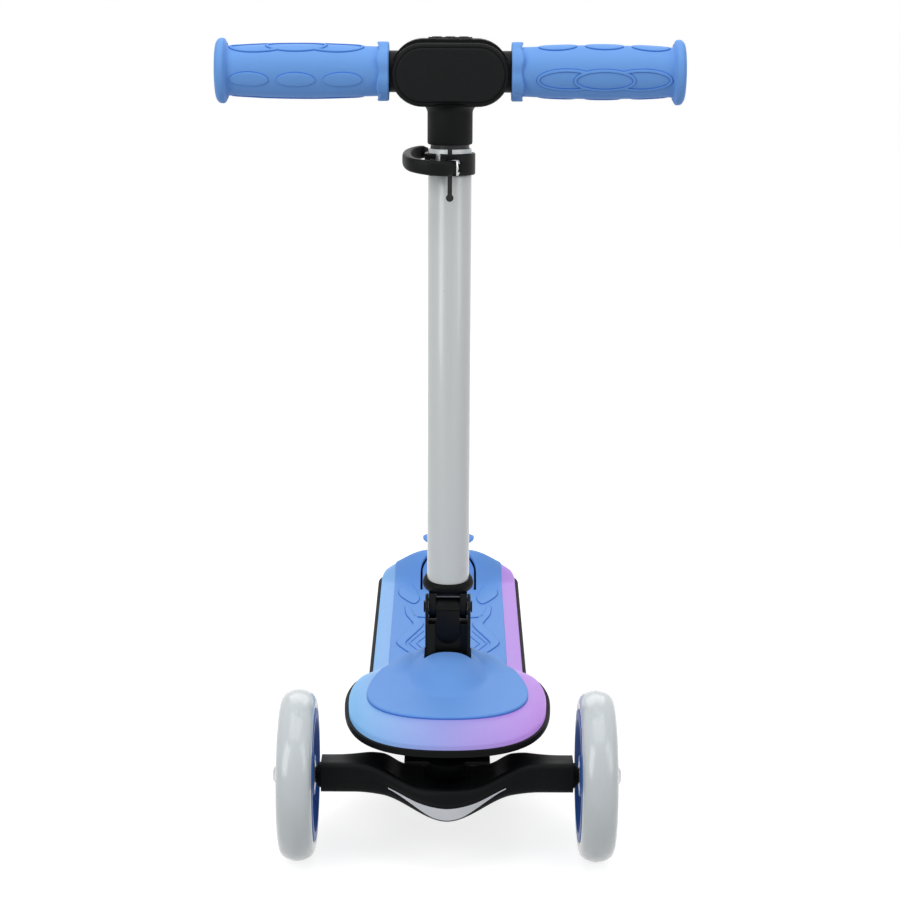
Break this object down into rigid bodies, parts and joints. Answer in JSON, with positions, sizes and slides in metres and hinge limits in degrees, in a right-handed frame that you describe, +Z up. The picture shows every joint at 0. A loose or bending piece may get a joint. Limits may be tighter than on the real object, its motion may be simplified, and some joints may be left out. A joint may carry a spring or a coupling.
{
  "type": "three-wheel kids scooter",
  "caption": "Lean-to-steer kids kick scooter with front wheels on a tilting beam, a light-up deck, a folding height-adjustable T-bar and a foot brake.",
  "frame": {"origin": "on the ground under the middle of the scooter's box", "axes": "+Z up, -Y forward, +X to the viewer's right of someone facing its front"},
  "size_m": [0.331, 0.528, 0.562],
  "materials": {
    "blue_rubber": "matt soft-touch moulded rubber",
    "blue_pad": "matt moulded pad",
    "blue_hub": "semi-gloss moulding",
    "black_plastic": "fine-grained matt moulding",
    "black_metal": "black powder coat",
    "white_paint": "semi-gloss white paint",
    "tyre_white": "milky cast polyurethane",
    "light_plastic": "milky light-carrying plastic, lit from inside",
    "bright_steel": "zinc-plated",
    "dark_steel": "dark plated steel",
    "black_rubber": "matt rubber",
    "board_green": "solder-masked board"
  },
  "bodies": {
    "deck": {"deck_tray": "black_plastic", "light_band": "light_plastic", "light_strip": "board_green", "light_battery": "black_rubber", "battery_door": "black_plastic", "nose_pad": "blue_pad", "deck_pad": "blue_pad", "fold_bracket": "black_metal", "fold_pin": "bright_steel", "pivot_boss": "black_plastic", "pivot_bushing": "black_rubber", "kingpin": "bright_steel", "rear_axle": "bright_steel", "brake_pin": "bright_steel"},
    "truck": {"truck_beam": "black_plastic", "axle_spacer_left": "black_plastic", "axle_spacer_right": "black_plastic", "front_axle_left": "bright_steel", "front_axle_right": "bright_steel"},
    "front_wheel_left": {"front_tyre_left": "tyre_white", "front_hub_left": "blue_hub", "front_bearing_inner_left": "bright_steel", "front_bearing_outer_left": "bright_steel"},
    "front_wheel_right": {"front_tyre_right": "tyre_white", "front_hub_right": "blue_hub", "front_bearing_inner_right": "bright_steel", "front_bearing_outer_right": "bright_steel"},
    "rear_wheel": {"rear_tyre": "tyre_white", "rear_hub": "blue_hub", "rear_bearing_left": "bright_steel", "rear_bearing_right": "bright_steel"},
    "brake": {"brake_pedal": "blue_pad"},
    "column": {"column_tube": "white_paint", "column_collar": "black_plastic", "hinge_base": "black_metal", "latch_plate": "bright_steel", "clamp_ring": "black_metal", "clamp_bolt": "bright_steel"},
    "release": {"release_lever": "black_plastic"},
    "clamp": {"clamp_lever": "black_plastic"},
    "handlebar": {"inner_tube": "black_metal", "head_body": "black_plastic", "head_bezel": "black_plastic", "speaker_mesh": "black_plastic", "speaker_driver": "dark_steel", "sound_board": "board_green", "control_strip": "black_plastic", "bar_tube_left": "bright_steel", "bar_tube_right": "bright_steel", "grip_left": "blue_rubber", "grip_right": "blue_rubber"},
    "key_left": {"button_left": "black_rubber"},
    "key_centre": {"button_centre": "black_rubber"},
    "key_right": {"button_right": "black_rubber"}
  },
  "joints": [
    {"name": "lean_steer", "type": "hinge", "parent": "deck", "child": "truck", "pos_m": [0, -0.192, 0.062], "axis": [0, -0.6428, 0.766], "range_deg": [-10, 10], "stiffness_Nm_per_rad": 12},
    {"name": "front_left_spin", "type": "hinge", "parent": "truck", "child": "front_wheel_left", "pos_m": [-0.1055, -0.204, 0.06], "axis": [1, 0, 0], "continuous": true},
    {"name": "front_right_spin", "type": "hinge", "parent": "truck", "child": "front_wheel_right", "pos_m": [0.1055, -0.204, 0.06], "axis": [1, 0, 0], "continuous": true},
    {"name": "rear_spin", "type": "hinge", "parent": "deck", "child": "rear_wheel", "pos_m": [0, 0.224, 0.04], "axis": [1, 0, 0], "continuous": true},
    {"name": "brake_press", "type": "hinge", "parent": "deck", "child": "brake", "pos_m": [0, 0.176, 0.057], "axis": [-1, 0, 0], "range_deg": [0, 5.4], "stiffness_Nm_per_rad": 3, "springref_deg": -1.72},
    {"name": "column_fold", "type": "hinge", "parent": "deck", "child": "column", "pos_m": [0, -0.093, 0.147], "axis": [-1, 0, 0], "range_deg": [0, 85]},
    {"name": "release_pull", "type": "hinge", "parent": "deck", "child": "release", "pos_m": [0, -0.093, 0.147], "axis": [-1, 0, 0], "range_deg": [0, 25], "stiffness_Nm_per_rad": 0.2, "springref_deg": -5.73},
    {"name": "handlebar_height", "type": "slide", "parent": "column", "child": "handlebar", "axis": [0, 0.0523, 0.9986], "range_m": [0, 0.12]},
    {"name": "clamp_open", "type": "hinge", "parent": "column", "child": "clamp", "pos_m": [0.0036, -0.09552, 0.47333], "axis": [0, 0.0523, 0.9986], "range_deg": [0, 150]},
    {"name": "key_left_press", "type": "slide", "parent": "handlebar", "child": "key_left", "axis": [0, -0.0523, -0.9986], "range_m": [0, 0.0007], "stiffness_N_per_m": 500, "springref_m": -0.0004},
    {"name": "key_centre_press", "type": "slide", "parent": "handlebar", "child": "key_centre", "axis": [0, -0.0523, -0.9986], "range_m": [0, 0.0007], "stiffness_N_per_m": 500, "springref_m": -0.0004},
    {"name": "key_right_press", "type": "slide", "parent": "handlebar", "child": "key_right", "axis": [0, -0.0523, -0.9986], "range_m": [0, 0.0007], "stiffness_N_per_m": 500, "springref_m": -0.0004}
  ]
}
